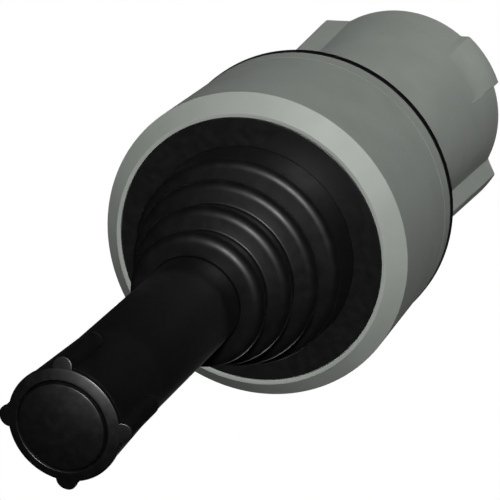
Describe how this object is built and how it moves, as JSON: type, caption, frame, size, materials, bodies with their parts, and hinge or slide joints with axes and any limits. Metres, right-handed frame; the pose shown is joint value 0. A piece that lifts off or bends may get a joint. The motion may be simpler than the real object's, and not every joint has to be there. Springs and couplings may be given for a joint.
{
  "type": "industrial joystick",
  "caption": "Panel-mount joystick operator with a slim sprung lever, push-button tip, folded rubber bellows, grey bezel ring and a ribbed sleeve behind the panel.",
  "frame": {"origin": "on the axis, in the plane where the gasket seats on the front of the panel", "axes": "+Z along the lever to its tip, X and Y through the four ears of the tip"},
  "size_m": [0.0295, 0.0294, 0.0901],
  "materials": {
    "grey_metal": "matte silver-grey lacquer with a faint green tone",
    "grey_sleeve": "matte mid grey, moulded",
    "black_plastic": "black, fine satin",
    "black_rubber": "black, smooth moulded rubber with a soft sheen",
    "guide_plastic": "dark grey, moulded",
    "plunger_plastic": "natural low-friction plastic",
    "steel": "bright turned steel",
    "spring_wire": "drawn spring wire",
    "zinc": "die-cast, dull grey"
  },
  "bodies": {
    "housing": {"panel_gasket": "black_rubber", "housing_barrel": "grey_metal", "fixing_sleeve": "grey_sleeve", "fixing_screw": "steel", "bezel_ring": "grey_metal", "face_plate": "black_plastic", "bellows": "black_rubber", "gate_plate": "steel", "guide_plate": "guide_plastic", "rear_cover": "black_plastic", "rear_screws": "steel", "centring_spring": "spring_wire", "centre_spring": "spring_wire", "plunger_spring_px": "spring_wire", "plunger_spring_nx": "spring_wire", "plunger_spring_py": "spring_wire", "plunger_spring_ny": "spring_wire"},
    "gimbal": {"gimbal_ring": "zinc", "trunnion_pins": "steel"},
    "lever": {"lever_shaft": "steel", "pivot_pins": "steel", "wobble_disc": "steel", "lever_nut": "steel", "handle_grip": "black_plastic", "end_cap": "black_plastic", "button_spring": "spring_wire"},
    "button": {"push_button": "black_plastic", "push_rod": "steel"},
    "centre_plunger": {"centre_plunger": "plunger_plastic"},
    "plunger_px": {"plunger_px": "plunger_plastic"},
    "plunger_nx": {"plunger_nx": "plunger_plastic"},
    "plunger_py": {"plunger_py": "plunger_plastic"},
    "plunger_ny": {"plunger_ny": "plunger_plastic"}
  },
  "joints": [
    {"name": "tilt_x", "type": "hinge", "parent": "housing", "child": "gimbal", "pos_m": [0, 0, 0.008], "axis": [1, 0, 0], "range_deg": [-12, 12], "stiffness_Nm_per_rad": 0.5, "deforming": ["bellows", "centring_spring"]},
    {"name": "tilt_y", "type": "hinge", "parent": "gimbal", "child": "lever", "pos_m": [0, 0, 0.008], "axis": [0, 1, 0], "range_deg": [-12, 12], "stiffness_Nm_per_rad": 0.5, "deforming": ["bellows", "centring_spring"]},
    {"name": "button_press", "type": "slide", "parent": "lever", "child": "button", "axis": [0, 0, -1], "range_m": [0, 0.0015], "stiffness_N_per_m": 600, "springref_m": -0.001, "deforming": ["button_spring"]},
    {"name": "centre_plunger_slide", "type": "slide", "parent": "housing", "child": "centre_plunger", "axis": [0, 0, -1], "range_m": [0, 0.0016], "deforming": ["centre_spring"]},
    {"name": "plunger_px_slide", "type": "slide", "parent": "housing", "child": "plunger_px", "axis": [0, 0, 1], "range_m": [-0.0013, 0.0013], "deforming": ["plunger_spring_px"]},
    {"name": "plunger_nx_slide", "type": "slide", "parent": "housing", "child": "plunger_nx", "axis": [0, 0, 1], "range_m": [-0.0013, 0.0013], "deforming": ["plunger_spring_nx"]},
    {"name": "plunger_py_slide", "type": "slide", "parent": "housing", "child": "plunger_py", "axis": [0, 0, 1], "range_m": [-0.0013, 0.0013], "deforming": ["plunger_spring_py"]},
    {"name": "plunger_ny_slide", "type": "slide", "parent": "housing", "child": "plunger_ny", "axis": [0, 0, 1], "range_m": [-0.0013, 0.0013], "deforming": ["plunger_spring_ny"]}
  ],
  "couplings": [
    {"joint": "centre_plunger_slide", "follows": "button_press", "ratio": 1},
    {"joint": "plunger_px_slide", "follows": "tilt_y", "m_per_rad": -0.00573},
    {"joint": "plunger_nx_slide", "follows": "tilt_y", "m_per_rad": 0.00573},
    {"joint": "plunger_py_slide", "follows": "tilt_x", "m_per_rad": 0.00573},
    {"joint": "plunger_ny_slide", "follows": "tilt_x", "m_per_rad": -0.00573}
  ]
}
